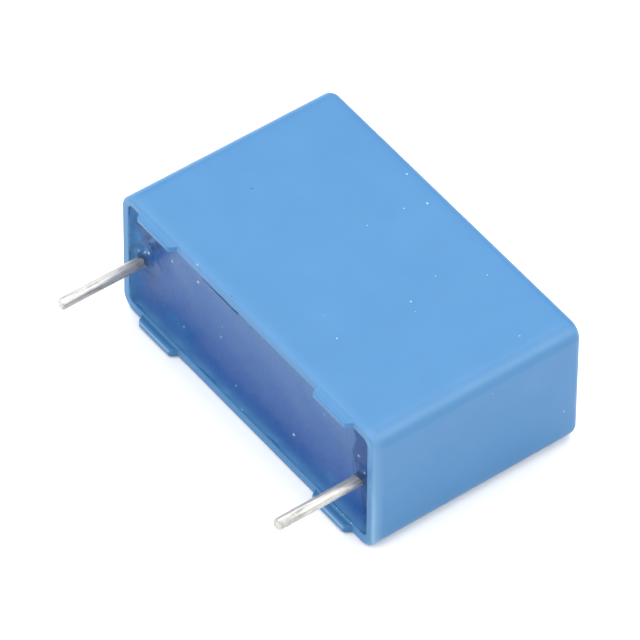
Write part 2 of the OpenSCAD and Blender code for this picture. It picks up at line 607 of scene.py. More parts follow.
@dataclass(frozen=True)
class MouldedPlastic(Finish):
    """Light blue case plastic: semi-matte, very finely grained, with a little dust, three nicks, painted
    highlights on its edges and a painted glint among the dust.
    """

    name: str = "case_blue_plastic"
    body: Colour = srgb(50, 109, 157)
    paler: Colour = srgb(54, 112, 160)
    # Pale colour of the dust specks and of the painted glint among them.
    dust: Colour = srgb(136, 180, 212)
    soil: Colour = srgb(22, 66, 104)
    # Paler colour that paints the highlights on the case's edges.
    worn: Colour = srgb(140, 176, 202)
    fine_dust_share: float = 0.5
    mark_share: float = 0.8
    # Pale specks: dust on the faces, a painted glint on the rim's outer edge at x -5.17, and three specks
    # along the ledge's edge at z -4.25.
    dust_specks: tuple[Speck, ...] = (
        Speck(-5.17, 0.6, 5.02, 0.06), Speck(2.8, 4.3, 5.05, 0.05), Speck(4.82, 3.81, 5.05, 0.07),
        Speck(5.0, 9.3, 5.02, 0.08), Speck(5.84, 9.0, 5.02, 0.05), Speck(-1.7, 11.0, 5.01, 0.06),
        Speck(4.2, 11.8, 5.0, 0.05), Speck(-1.5, 13.7, 5.0, 0.06), Speck(6.0, 14.4, 4.99, 0.05),
        Speck(-1.0, 15.1, 4.98, 0.08), Speck(-3.75, 15.6, 4.98, 0.07), Speck(11.2, 12.9, 5.0, 0.05),
        Speck(9.3, 0.52, -4.25, 0.04), Speck(9.95, 0.52, -4.25, 0.04), Speck(10.8, 0.52, -4.25, 0.05),
    )
    dark_nicks: tuple[Speck, ...] = (
        Speck(-8.4, 7.1, 5.02, 0.07), Speck(-1.78, 0.72, 5.04, 0.07), Speck(-1.5, 0.76, 5.04, 0.04),
    )

    def marks(self, graph: FinishGraph, specks: tuple[Speck, ...], mask: Socket | float) -> Socket:
        """Adds round marks to a mask, by the larger of the two.

        Args:
            graph: The material's nodes.
            specks: The marks.
            mask: Mask so far.

        Returns:
            The new mask.
        """
        for speck in specks:
            near = graph.math("MULTIPLY", speck.mask(graph, graph.place), self.mark_share)
            mask = graph.math("MAXIMUM", mask, near)
        return mask

    def build(self) -> Material:
        """Builds the material."""
        graph = self.start(IOR=1.5, Specular_IOR_Level=0.4)
        specks = graph.specks(700.0, share=0.05, size=0.09)
        fine_dust = graph.math("MULTIPLY", specks, self.fine_dust_share)
        blue = graph.mix(graph.cloud(260.0), self.body, self.paler)
        # Painted highlight: the edge field mixes in the paler colour along the rim, the feet's tips and the
        # long edges.
        rubbed = graph.mix(graph.skin(Skin.WEAR), blue, self.worn)
        nicked = graph.mix(self.marks(graph, self.dark_nicks, 0.0), rubbed, self.soil)
        # Pale specks of dust, with a painted glint among them.
        dusty = graph.mix(self.marks(graph, self.dust_specks, fine_dust), nicked, self.dust)
        graph.feed(Base_Color=dusty, Roughness=graph.cloud(420.0, low=0.36, high=0.44))
        graph.bump(graph.grain(9000.0), depth=2 * UM, strength=0.5)
        return graph.material


@dataclass(frozen=True)
class CastResin(Finish):
    """Blue-tinted potting resin: cloudy, paler where a sheen is painted, darker where shade is painted, with
    painted glints on bubbles and glossier in places that the mesh's own fields give.
    """

    name: str = "potting_resin_blue"
    deep: Colour = srgb(26, 66, 128)
    cloudy: Colour = srgb(30, 70, 131)
    # Paler colour of the painted sheen: a painted reflection of the floor, strongest towards the upper wall.
    pale: Colour = srgb(68, 100, 146)
    # Colour of thin resin over the wall, which some smudges also use to paint light and glints.
    wall_film: Colour = srgb(58, 108, 154)
    # Dark greenish colour of the painted shade at the leads' roots, round bubbles, in creases, in the slit
    # and past the crease.
    greenish: Colour = srgb(18, 56, 96)
    # Near-white colour of the painted glints on bubbles and on fine specks of small bubbles.
    air: Colour = srgb(158, 184, 208)
    fine_air_share: float = 0.5
    wet_coat: float = 0.35

    def build(self) -> Material:
        """Builds the material."""
        graph = self.start(IOR=1.5, Specular_IOR_Level=0.08, Coat_Roughness=0.08)
        colour = graph.mix(graph.cloud(350.0), self.deep, self.cloudy)
        # Painted sheen, painted shade, film colour with some painted light, and painted bubble glints, laid
        # on in that order.
        coats = {Skin.SHEEN: self.pale, Skin.MURK: self.greenish, Skin.FILM: self.wall_film,
                 Skin.AIR: self.air}
        for skin, over in coats.items():
            colour = graph.mix(graph.skin(skin), colour, over)
        # Fine specks of small bubbles with a painted glint.
        specks = graph.specks(1500.0, share=0.04, size=0.14)
        fine_air = graph.math("MULTIPLY", specks, self.fine_air_share)
        graph.feed(Base_Color=graph.mix(fine_air, colour, self.air),
                   Roughness=graph.cloud(900.0, low=0.2, high=0.32),
                   Coat_Weight=graph.math("MULTIPLY", graph.skin(Skin.GLOSS), self.wet_coat))
        graph.bump(graph.cloud(1400.0), depth=3 * UM, strength=0.6)
        return graph.material


@dataclass(frozen=True)
class TinnedWire(Finish):
    """Tin over copper with a thin dull skin: streaked along the wire, duller in patches."""

    name: str = "tinned_copper_wire"
    bright: Colour = srgb(196, 194, 190)
    dull: Colour = srgb(132, 132, 132)
    streaks_outside_patches: float = 0.4

    def build(self) -> Material:
        """Builds the material."""
        graph = self.start(Metallic=0.5)
        along = graph.stretched(1.0, 0.05, 1.0)
        patches = graph.math("ADD", graph.cloud(1400.0), self.streaks_outside_patches)
        # On the wire this is only the share of duller, worn streaks.
        worn = graph.math("MULTIPLY", graph.cloud(7000.0, place=along), patches)
        graph.feed(Base_Color=graph.mix(worn, self.bright, self.dull),
                   Roughness=graph.cloud(4000.0, low=0.22, high=0.36, place=along))
        graph.bump(graph.grain(12000.0, place=along), depth=2 * UM, strength=0.6)
        return graph.material


@dataclass(frozen=True)
class SprayedZinc(Finish):
    """Zinc sprayed on to the ends of the winding: dull, rough and granular."""

    name: str = "sprayed_zinc"
    light: Colour = srgb(168, 168, 164)
    dark: Colour = srgb(118, 118, 116)

    def build(self) -> Material:
        """Builds the material."""
        graph = self.start(Metallic=0.8)
        graph.feed(Base_Color=graph.mix(graph.cloud(2500.0), self.dark, self.light),
                   Roughness=graph.cloud(1200.0, low=0.62, high=0.85))
        graph.bump(graph.grain(5000.0), depth=60 * UM)
        return graph.material


@dataclass(frozen=True)
class MetallisedFilm(Finish):
    """Outer turns of the winding: metallised film under tension, with fine wrinkles round the roll."""

    name: str = "metallised_film_roll"
    silver: Colour = srgb(202, 206, 212)
    shade: Colour = srgb(168, 174, 184)

    def build(self) -> Material:
        """Builds the material."""
        graph = self.start(Metallic=0.9)
        wound = graph.stretched(1.0, 0.08, 0.08)
        graph.feed(Base_Color=graph.mix(graph.cloud(5200.0, place=wound), self.silver, self.shade),
                   Roughness=graph.cloud(700.0, low=0.24, high=0.38))
        graph.bump(graph.grain(3500.0, place=wound), depth=12 * UM)
        return graph.material


@dataclass(frozen=True)
class PaleFloor(Finish):
    """Plain white paper under the part."""

    name: str = "pale_floor"
    paper: Colour = srgb(250, 250, 250)
    paper_shade: Colour = srgb(248, 248, 248)

    def build(self) -> Material:
        """Builds the material."""
        graph = self.start()
        graph.feed(Base_Color=graph.mix(graph.cloud(20.0), self.paper, self.paper_shade),
                   Roughness=graph.cloud(40.0, low=0.8, high=0.9))
        return graph.material


# ---------------------------------------------------------------------------------------------------
# The part


@dataclass(frozen=True)
class CaseSizes:
    """Sizes that the case and the resin share."""

    wall: float = 0.7 * MM
    edge_radius: float = 1.2 * MM
    rim_depth: float = 0.5 * MM
    end_wall: float = 1.0 * MM
    core_shift: float = 0.12 * MM


@dataclass
class MouldedCase:
    """Open box with round edges, a rounded rim and four feet on its long sides."""

    outer: Box
    sizes: CaseSizes = CaseSizes()
    end_round: float = 0.6 * MM
    end_sink: float = 0.03 * MM
    rim_round: float = 0.2 * MM
    inner_round: float = 0.3 * MM
    rim_break: float = 0.08 * MM
    tip_break: float = 0.09 * MM
    draft: float = 0.08 * MM
    hollow: float = 0.04 * MM
    foot_step: float = 0.1 * MM
    foot_ledge: float = 0.1 * MM
    foot_middle: float = 9.05 * MM
    foot_root: float = 3.8 * MM
    foot_tip: float = 3.2 * MM
    foot_ease: float = 0.07 * MM
    slope_stations: tuple[float, float, float] = (-0.18 * MM, 0.48 * MM, 0.022 * MM)
    station_gap: float = 0.08 * MM
    along_step: float = 0.4 * MM
    across_step: float = 0.35 * MM
    outer_step: float = 0.6 * MM

    def __post_init__(self) -> None:
        """Reads the outer sizes from the node's box and sets out the stations round the case."""
        high = self.outer[1]
        self.half_length, self.closed_y, self.half_thickness = high
        self.floor_y = self.closed_y - self.sizes.end_wall
        slope = span(*self.slope_stations) + self.foot_tip / 2
        stops = np.concatenate([self.foot_middle - slope, self.foot_middle + slope])
        straight = self.half_length - self.sizes.edge_radius
        plain = span(-straight, straight, self.along_step)
        keep = np.abs(np.abs(plain[:, None]) - stops[None, :]).min(axis=1) > self.station_gap
        along = np.unique(np.concatenate([plain[keep], stops, -stops]))
        across = self.half_thickness - self.sizes.edge_radius
        self.loop = RoundedLoop(self.half_length, self.half_thickness, self.sizes.edge_radius, along,
                                span(-across, across, self.across_step))

    def foot_height(self) -> Array:
        """Height of the foot at each station: full over the tip, and an eased slope down to its root."""
        x, facing = self.loop.centres[:, 0], self.loop.facing[:, 1]
        on_long_side = np.abs(facing) > 0.999
        away = np.abs(np.abs(x) - self.foot_middle)
        rise = ramp(away, self.foot_root / 2 + self.foot_ease, self.foot_tip / 2 - self.foot_ease)
        return np.where(on_long_side, rise, 0.0) * self.sizes.rim_depth

    def shifted(self, rows: Array) -> Array:
        """Rows of the inner form, moved by the core shift that leaves one long wall a little thinner."""
        return rows + UP * self.sizes.core_shift

    def closed_end(self) -> list[Array]:
        """Flat end and the quarter-round edge about it.

        Returns:
            Rows of points, from the middle line outwards.
        """
        share = np.linspace(0, 1, num=9)[:-1]
        x, z = self.loop.shrink(self.draft + self.end_round, share)
        y = np.broadcast_to(self.closed_y - self.end_sink * mound(column(share)), x.shape)
        turn = np.linspace(0, QUARTER_TURN, num=9)[:, None]
        rounded = self.loop.ring(self.draft + self.end_round * (1 - np.sin(turn)),
                                 self.closed_y - self.end_round * (1 - np.cos(turn)))
        return [np.stack([x, y, z], -1), rounded]

    def outside(self) -> list[Array]:
        """Outer walls, from the closed end to the start of the rim's rounding.

        They lean in by the draft, in proportion to the height, and are hollowed by a mound-shaped sink that
        fades towards every edge.

        Returns:
            Rows of points, from the closed end on.
        """
        low = self.sizes.rim_depth + self.rim_round
        high = self.closed_y - self.end_round
        y = span(high, low, self.outer_step)[1:, None]
        share = (y - low) / (high - low)
        centres, facing = self.loop.centres, self.loop.facing
        across = np.where(np.abs(facing[:, 1]) > np.abs(facing[:, 0]),
                          centres[:, 0] / (self.half_length - self.sizes.edge_radius),
                          centres[:, 1] / (self.half_thickness - self.sizes.edge_radius))
        sink = self.hollow * mound(across)[None, :] * mound(2 * share - 1)
        return [self.loop.ring(self.draft * share + sink, y)]

    def rim(self) -> list[Array]:
        """Rim with its feet, as two sections blended by whether a station has a foot.

        Without a foot the section is the quarter round of the outer edge, the flat rim and the broken inner
        edge. With one it leaves the quarter round at the foot's step, runs out to the tip, whose two edges
        are broken, and comes back down to the ledge beside the cavity. The rows are moved by a share of the
        core shift that grows from none at the outer edge.

        Returns:
            Rows of points, from the outer edge to the inner one.
        """
        rim, wall, r, e = self.sizes.rim_depth, self.sizes.wall, self.rim_round, self.tip_break
        tip = (rim - self.foot_height())[None, :]
        blended_height = 1.5 * e
        has_foot = ease((rim - tip) / blended_height)
        far, near = self.foot_step, wall - self.foot_ledge

        def blend(plain_inset: Array, plain_y: Array | float, foot_inset: Array | float,
                  foot_y: Array) -> Array:
            """Mixes rows of the plain section with the same rows of the section with a foot."""
            inset = column(plain_inset) * (1 - has_foot) + column(foot_inset) * has_foot
            return self.loop.ring(inset, column(plain_y) * (1 - has_foot) + foot_y * has_foot)

        leave = math.acos(1 - far / r)
        start = column(np.linspace(0, leave, num=5)[1:])
        first = self.loop.ring(r * (1 - np.cos(start)), rim + r * (1 - np.sin(start)))
        turn = np.linspace(leave, QUARTER_TURN, num=5)[1:]
        left_y = rim + r * (1 - math.sin(leave))
        climb = left_y + (tip + e - left_y) * column(np.linspace(0, 1, num=5)[1:])
        outer = blend(r * (1 - np.cos(turn)), rim + r * (1 - np.sin(turn)), far, climb)
        edge_in, flat_in, back_in, face_in = np.split(np.linspace(r, near, num=18)[1:], [4, 9, 14])
        quarter = np.linspace(0, QUARTER_TURN, num=len(back_in))
        rise, run = e * (1 - np.sin(quarter)), e * (1 - np.cos(quarter))
        flat_far = np.linspace(far + e, near - e, num=len(flat_in) + 2)[1:-1]
        down = column(np.linspace(0, 1, num=len(face_in) + 1)[1:])
        crown = [blend(edge_in, rim, far + run[1:], tip + column(rise[1:])),
                 blend(flat_in, rim, flat_far, np.repeat(tip, len(flat_in), axis=0)),
                 blend(back_in, rim, near - rise, tip + column(run)),
                 blend(face_in, rim, near, tip + e + (rim - tip - e) * down)]
        reached = np.concatenate([edge_in, flat_in, back_in, np.full(len(face_in), near)])
        shift = (reached - r) / (near - r) * self.sizes.core_shift
        edge_turn = column(np.linspace(0, QUARTER_TURN, num=5))
        ledge = self.loop.ring(wall - self.rim_break * (1 - np.sin(edge_turn)),
                               rim + self.rim_break * (1 - np.cos(edge_turn)))
        return [first, outer, np.concatenate(crown) + UP * shift[:, None, None], self.shifted(ledge)]

    def inside(self) -> list[Array]:
        """Inner walls, the quarter round at their foot and the inner floor.

        Returns:
            Rows of points, from the rim to the middle line of the floor.
        """
        rim, wall = self.sizes.rim_depth, self.sizes.wall
        upper_start, upper_stop, lower_start = rim + 0.12 * MM, rim + 1.6 * MM, rim + 2.4 * MM
        fine_step, coarse_step = 0.15 * MM, 1.6 * MM
        y = column(np.concatenate([span(upper_start, upper_stop, fine_step),
                                   span(lower_start, self.floor_y - self.inner_round, coarse_step)]))
        walls = self.loop.ring(np.full_like(y, wall), y)
        turn = column(np.linspace(0, QUARTER_TURN, num=6)[1:])
        rounded = self.loop.ring(wall + self.inner_round * (1 - np.cos(turn)),
                                 self.floor_y - self.inner_round * (1 - np.sin(turn)))
        x, z = self.loop.shrink(wall + self.inner_round, np.linspace(1, 0, num=8)[1:])
        floor = np.stack([x, np.full_like(x, self.floor_y), z], -1)
        return [self.shifted(rows) for rows in (walls, rounded, floor)]

    def wear(self, points: Array) -> Array:
        """Share of painted highlight, a paler plastic colour, at points of the case.

        It falls off with the distance to the edges where the highlight is painted: the outer edge of the
        rim, most of all at the right-hand end and low down, the inner edge of the feet's tips, and the round
        long edges.

        Args:
            points: Points by XYZ.

        Returns:
            One value from 0 to 1 for each point.
        """
        x, y, z = points.T
        half_x, half_z = self.half_length, self.half_thickness
        everywhere, at_end_more, high_part, tip_share, edge_share = 0.1, 0.5, 0.3, 0.9, 0.16
        inset = np.clip(np.minimum(half_x - np.abs(x), half_z - np.abs(z)), 0, None)
        behind_rim = y - self.sizes.rim_depth
        at_rim = bell((behind_rim - 0.09 * MM) / (0.15 * MM)) * bell((inset - 0.06 * MM) / (0.14 * MM))
        at_end = ramp(x, half_x - 1.2 * MM, half_x - 0.4 * MM)
        lower = high_part + (1 - high_part) * ramp(z, 3.0 * MM, -3.0 * MM)
        rim = at_rim * (everywhere + at_end_more * at_end * lower)
        inner_edge = half_z - self.sizes.wall + self.foot_ledge + 0.03 * MM
        tip = fade(np.clip(y, 0, None), 0.06 * MM) * fade(np.abs(np.abs(z) - inner_edge), 0.05 * MM)
        turned = self.sizes.edge_radius * (1 - math.sqrt(0.5))
        off_x, off_z = np.abs(x) - half_x + turned, np.abs(z) - half_z + turned
        long_edge = bell(off_x / (0.4 * MM)) * bell(off_z / (0.4 * MM))
        return np.clip(rim + tip_share * tip + edge_share * long_edge, 0, 1)

    def build(self, material: Material) -> Object:
        """Joins all the rows into one closed shell.

        Args:
            material: Finish of the case.

        Returns:
            The case, with the painted edge highlight of its points.
        """
        rows = self.closed_end() + self.outside() + self.rim() + self.inside()
        piece = make_piece("moulded_case", [Patch(np.concatenate(rows))], material, "case")
        write_field(piece.data, Skin.WEAR, self.wear(mesh_points(piece.data)))
        return piece


@dataclass(frozen=True)
class Bubble:
    """A small, slightly flat bubble half out of the resin: its place and radius in millimetres."""

    x: float
    z: float
    radius: float
    flatness: float = 0.7

    def away(self, x: Array, z: Array) -> Array:
        """Distance of points from its middle, in radii."""
        return np.hypot(x - self.x * MM, z - self.z * MM) / (self.radius * MM)

    def shell(self, surface_y: float, shift: float) -> Patch:
        """Closed ellipsoid: the centre plus the radii times (sin p cos q, cos p, sin p sin q).

        Args:
            surface_y: Y of the resin at its middle.
            shift: How far the resin is moved in Z.

        Returns:
            The ellipsoid.
        """
        p = column(np.linspace(0, math.pi, num=9))
        q = np.linspace(0, FULL_TURN, num=14, endpoint=False)[None, :]
        unit = np.stack([np.sin(p) * np.cos(q), np.cos(p) * np.ones_like(q), np.sin(p) * np.sin(q)], -1)
        centre = np.array([self.x * MM, surface_y, self.z * MM + shift])
        return Patch(centre + unit * self.radius * MM * np.array([1, self.flatness, 1]))


@dataclass(frozen=True)
class Smudge:
    """An oval patch in which one of the skin's fields is stronger.

    Its middle and half sizes are in millimetres and its turn is in radians.
    """

    skin: Skin
    x: float
    z: float
    half_x: float
    half_z: float
    turn: float
    strength: float

    def share(self, x: Array, z: Array) -> Array:
        """Strength of the smudge at points: a bell of the distance in half sizes."""
        c, s = math.cos(self.turn), math.sin(self.turn)
        off_x, off_z = x / MM - self.x, z / MM - self.z
        return self.strength * bell(np.hypot((off_x * c + off_z * s) / self.half_x,
                                             (off_z * c - off_x * s) / self.half_z))


@dataclass(frozen=True)
class Climb:
    """How high the resin climbs something, and how far from it a third of the climb is left."""

    height: float
    reach: float

    def at(self, distance: Array, scale: Array | float = 1.0) -> Array:
        """Climb at a distance, which may be scaled."""
        return self.height * scale * fade(distance, self.reach)


@dataclass
class ResinFill:
    """Cast resin: it climbs the walls, the corners and both leads, and sets with an uneven skin.

    Fields over the skin steer its finish: painted sheen is the share of a paler colour that paints the
    floor's reflection, film how thinly it covers the wall, with some smudges of painted light, painted shade
    how dark and greenish the shade painted in rings, creases and hollows makes it, gloss how wet it looks,
    and bubble glint where a bubble shows a painted glint.
    """

    loop: RoundedLoop
    sizes: CaseSizes
    floor_y: float
    lead_x: float
    lead_radius: float = 0.4 * MM
    surface_y: float = 1.1 * MM
    top_y: float = 0.53 * MM
    floor_gap: float = 0.02 * MM
    lap: float = 0.012 * MM
    left_wall: Climb = Climb(0.56 * MM, 0.45 * MM)
    right_wall: Climb = Climb(0.3 * MM, 0.25 * MM)
    lower_wall: Climb = Climb(0.5 * MM, 0.3 * MM)
    upper_wall: Climb = Climb(0.22 * MM, 0.3 * MM)
    upper_wall_at_slit: Climb = Climb(0.5 * MM, 0.3 * MM)
    collar: Climb = Climb(0.4 * MM, 0.16 * MM)
    collar_bite: float = 0.05 * MM
    moat_depth: float = 0.05 * MM
    moat_middle: float = 0.55 * MM
    moat_half: float = 0.3 * MM
    slit: tuple[float, float] = (-5.4 * MM, -1.5 * MM)
    slit_soft: float = 0.5 * MM
    slit_inset: float = 1.12 * MM
    slit_half: float = 0.09 * MM
    slit_bottom_half: float = 0.05 * MM
    slit_depth: float = 0.35 * MM
    slit_margin: float = 1.2 * MM
    past_sink: float = 0.2 * MM
    past_power: float = 0.8
    fold_height: float = 0.24 * MM
    fold_share: float = 0.3
    lip_cosine: float = 0.7
    lip_rise: float = 0.14 * MM
    lip_fall: float = 0.3 * MM
    corner_x: tuple[float, float] = (-9.4 * MM, -10.4 * MM)
    corner_z: tuple[float, float] = (-0.6 * MM, 0.6 * MM)
    ragged: Waver = Waver(0.14, 2.4 * MM, seed=3)
    crooked: Waver = Waver(0.05 * MM, 0.8 * MM, seed=5)
    folds: Waver = Waver(1.2, 2.4 * MM, seed=11)
    twist: Waver = Waver(0.18, 0.9 * MM, seed=17)
    slack: Waver = Waver(0.012 * MM, 3.5 * MM, seed=23)
    slit_waver: Waver = Waver(0.02 * MM, 1.5 * MM, seed=29)
    clouding: Waver = Waver(1.0, 2.0 * MM, seed=41)
    # In millimetres: Z and X of the crease's bends, and X and Z of the pucker's lip.
    crease: tuple[tuple[float, float], ...] = ((-5.0, 11.6), (-3.9, 11.45), (-1.6, 10.95), (-0.4, 10.6),
                                               (0.3, 10.3), (1.0, 10.0), (2.6, 10.35), (3.5, 9.85))
    lip: tuple[tuple[float, float], ...] = ((-11.1, 1.3), (-10.7, 1.75), (-10.4, 2.0), (-10.0, 2.4),
                                            (-9.5, 2.85))
    # In millimetres: start, stop and step of the rows beside the walls.
    wall_rows: tuple[tuple[float, float, float], ...] = ((0, 0.24, 0.04), (0.3, 0.96, 0.06),
                                                         (1.0, 1.28, 0.025), (1.34, 1.5, 0.06))
    middle_inset: float = 1.6 * MM
    middle_step: float = 0.09 * MM
    bubbles: tuple[Bubble, ...] = (
        Bubble(-8.46, 2.09, 0.09), Bubble(-5.76, 2.53, 0.1), Bubble(-7.3, -2.85, 0.07),
        Bubble(-3.4, -0.4, 0.06), Bubble(4.16, -2.61, 0.1), Bubble(10.75, 1.36, 0.08),
        Bubble(-1.8, -3.4, 0.06), Bubble(7.2, 1.9, 0.05), Bubble(-10.92, 0.72, 0.1),
        Bubble(-11.2, 0.62, 0.07), Bubble(-11.72, 0.35, 0.06), Bubble(11.5, 0.55, 0.05),
    )
    # Smudges paint light and shade: the shade ones darken folds, the wedge along the upper left foot, crease
    # lines and the lower left and right; the sheen ones paint glints on the crease and beside the right-hand
    # lead, and paler patches; the film ones paint glints round the left-hand root and a paler patch at the
    # left wall.
    smudges: tuple[Smudge, ...] = (
        Smudge(Skin.FILM, -12.0, 1.4, 0.5, 0.6, 0.0, 0.9),
        Smudge(Skin.MURK, -11.5, 2.5, 0.4, 0.8, 0.5, 0.4),
        Smudge(Skin.MURK, -10.5, 2.7, 1.6, 0.25, 0.1, 0.6),
        Smudge(Skin.MURK, -11.5, 1.3, 0.35, 0.5, 0.0, 0.3),
        Smudge(Skin.SHEEN, -10.35, 2.3, 0.7, 0.16, 0.8, 1.0),
        Smudge(Skin.MURK, -10.1, 1.95, 0.9, 0.15, 0.8, 0.9),
        Smudge(Skin.MURK, -11.0, 2.1, 0.9, 0.15, 0.9, 0.7),
        Smudge(Skin.FILM, -11.1, 0.8, 0.28, 0.2, 0.3, 1.3),
        Smudge(Skin.FILM, -11.8, 0.35, 0.3, 0.14, 0.6, 1.0),
        Smudge(Skin.SHEEN, -12.1, 3.7, 0.4, 0.35, 0.0, 0.7),
        Smudge(Skin.SHEEN, -9.9, -0.2, 0.8, 0.2, 0.0, 0.12),
        Smudge(Skin.MURK, -11.0, -1.0, 1.6, 1.2, 0.0, 0.25),
        # Painted light over the shade that the lower feet cast.
        Smudge(Skin.FILM, -8.2, -3.2, 1.6, 0.6, 0.0, 0.45),
        Smudge(Skin.FILM, 8.2, -3.2, 1.6, 0.6, 0.0, 0.45),
        Smudge(Skin.SHEEN, 11.2, 0.55, 0.4, 0.18, 0.6, 0.7),
        Smudge(Skin.MURK, 11.2, -2.6, 0.16, 1.6, 0.24, 0.6),
    )

    def walls_at(self, x: Array, z: Array) -> tuple[Array, ...]:
        """Distances to the left, right, lower and upper walls of the shifted cavity, none below 0."""
        edge_x = self.loop.half_length - self.sizes.wall
        edge_z = self.loop.half_thickness - self.sizes.wall
        return tuple(np.clip(d, 0, None) for d in (x + edge_x, edge_x - x, z + edge_z, edge_z - z))

    def from_lead(self, side: End, x: Array, z: Array) -> Array:
        """Distance from the surface of a lead."""
        return np.hypot(x - side.value * self.lead_x, z) - self.lead_radius

    def past_crease(self, x: Array, z: Array) -> Array:
        """How far a point lies past the crooked crease, towards the right-hand wall."""
        heights, places = (np.array(row) * MM for row in zip(*self.crease))
        return x - np.interp(z, heights, places) - self.crooked.at(z, z * 0)

    def parted(self, x: Array, z: Array) -> Array:
        """1 inside the narrow slit where the resin has parted, which wavers a little, and 0 beside it."""
        upper = self.walls_at(x, z)[3]
        off = np.abs(upper - self.slit_inset - self.slit_waver.at(x, x * 0))
        return window(x, *self.slit, self.slit_soft) * ramp(off, self.slit_half, self.slit_bottom_half)

    def corner_window(self, x: Array, z: Array) -> Array:
        """1 in the puckered upper left part of the skin, 0 elsewhere."""
        return ramp(x, *self.corner_x) * ramp(z, *self.corner_z)

    def pucker(self, x: Array, z: Array) -> Array:
        """Folds of the puckered part: 1 on the lip and on the crests of |relief|, 0 in the troughs.

        The lip rises steeply on its lower side and falls off slowly on its upper side.

        Args:
            x: X of the points.
            z: Z of the points, in the unshifted cavity.

        Returns:
            One value from 0 to 1 for each point.
        """
        places, heights = (np.array(row) * MM for row in zip(*self.lip))
        over = (z - np.interp(x, places, heights)) * self.lip_cosine
        lip = ramp(over, 0, self.lip_rise) * fade(np.clip(over, 0, None), self.lip_fall)
        lip = lip * window(x, places[0], places[-1], self.lip_fall)
        crests = self.fold_share * (1 - np.clip(np.abs(self.folds.at(x, z)), 0, 1))
        return np.clip(crests + lip, 0, 1) * self.corner_window(x, z)

    def height(self, x: Array, z: Array) -> Array:
        """Y of the surface.

        The flat middle less what climbs: an exponential of the distance to each wall, larger in corners
        because their squares add, an exponential of the distance to each lead, which stands in a shallow
        moat, and the folds of the puckered part. The skin sinks past the crease and in the slit, where the
        resin has come away from the wall, and is slightly uneven everywhere.

        Args:
            x: X of the points.
            z: Z of the points, in the unshifted cavity.

        Returns:
            Y of each point.
        """
        left, right, lower, upper = self.walls_at(x, z)
        start, stop, margin = *self.slit, self.slit_margin
        near_slit = window(x, start - margin, stop + margin, margin)
        at_upper = self.upper_wall.at(upper) + self.upper_wall_at_slit.at(upper, near_slit)
        climbs = (self.left_wall.at(left), self.right_wall.at(right), self.lower_wall.at(lower), at_upper)
        climb = (1 + self.ragged.at(x, z)) * np.sqrt(sum(c**2 for c in climbs))
        past = np.clip(self.past_crease(x, z) / MM, 0, None)
        climb = climb - self.past_sink * past**self.past_power
        for side in End:
            away = self.from_lead(side, x, z)
            twist = 1 + self.twist.at(x, z, side.value)
            collar = self.collar.at(np.clip(away, -self.collar_bite, None), twist)
            moat = self.moat_depth * mound((away - self.moat_middle) / self.moat_half)
            climb = np.maximum(climb, collar) - moat
        climb = climb + self.fold_height * self.pucker(x, z)
        y = np.maximum(self.surface_y - climb + self.slack.at(x, z), self.top_y)
        return y + self.slit_depth * self.parted(x, z)

    def film(self, x: Array, z: Array) -> Array:
        """How thinly the resin covers the wall: it falls off from the left wall, and sooner from two others.

        Args:
            x: X of the points.
            z: Z of the points, in the unshifted cavity.

        Returns:
            The film at each point, by the nearest of the left, lower and right walls.
        """
        left, right, lower, _ = self.walls_at(x, z)
        lower_haste, right_haste, reach, waver = 1.2, 2.0, 0.42 * MM, 0.15
        thin = np.minimum(np.minimum(left, lower * lower_haste), right * right_haste)
        return fade(thin, reach) * (1 + waver * self.clouding.at(x, z))

    def sheen(self, x: Array, z: Array, past: Array) -> Array:
        """Painted sheen at points: a painted reflection that grows evenly from the lower wall to the upper
        one, up to the crease.

        Args:
            x: X of the points.
            z: Z of the points, in the unshifted cavity.
            past: 1 past the crease and 0 before it.

        Returns:
            The painted sheen, duller in the upper left part but for painted glints on the crests of the
            folds, and with a painted highlight spot past the crease beside the right-hand lead.
        """
        low, high, waver = -3.1 * MM, 3.5 * MM, 0.02
        lower_gain, upper_loss, spot_gain = 0.07, 0.75, 0.35
        crest_gain, crest_power = 0.45, 4
        sheen = np.clip((z - low) / (high - low) + waver * self.clouding.at(x, z), 0, 1)
        at_left = ramp(x, -7.6 * MM, -9.8 * MM)
        sheen = sheen + lower_gain * at_left * ramp(z, 0.5 * MM, -0.5 * MM)
        sheen = sheen * (1 - past) * (1 - upper_loss * at_left * ramp(z, -1.0 * MM, 1.0 * MM))
        # Painted glints on the crests of the folds, and a painted highlight spot past the crease beside the
        # right-hand lead.
        sheen = np.clip(sheen + crest_gain * self.pucker(x, z) ** crest_power, 0, 1)
        spot = ramp(np.hypot(x - 11.75 * MM, z - 0.15 * MM), 0.9 * MM, 0.4 * MM)
        return np.maximum(sheen, spot_gain * spot * past)

    def rings(self, x: Array, z: Array) -> Array:
        """Painted shade in rings round the roots of the leads, where they leave the resin, and fainter rings
        round the bubbles.

        Args:
            x: X of the points.
            z: Z of the points, in the unshifted cavity.

        Returns:
            Painted shade from 0 to 1 for each point.
        """
        lead_reach, bubble_share, bubble_start, bubble_full = 0.1 * MM, 0.35, 2.2, 1.4
        dark = np.zeros_like(x)
        for side in End:
            dark = np.maximum(dark, fade(np.clip(self.from_lead(side, x, z), 0, None), lead_reach))
        for bubble in self.bubbles:
            dark = np.maximum(dark, bubble_share * ramp(bubble.away(x, z), bubble_start, bubble_full))
        return dark

    def air(self, x: Array, z: Array) -> Array:
        """Where a bubble shows its painted glint.

        Args:
            x: X of the points.
            z: Z of the points, in the unshifted cavity.

        Returns:
            1 on the crown of a bubble, half as much at its edge, and 0 on the resin.
        """
        edge, fades_from, fades_to = 1.01, 0.5, 1.5
        shown = np.zeros_like(x)
        for bubble in self.bubbles:
            away = bubble.away(x, z)
            shown = np.maximum(shown, ramp(away, fades_to, fades_from) * (away <= edge))
        return shown

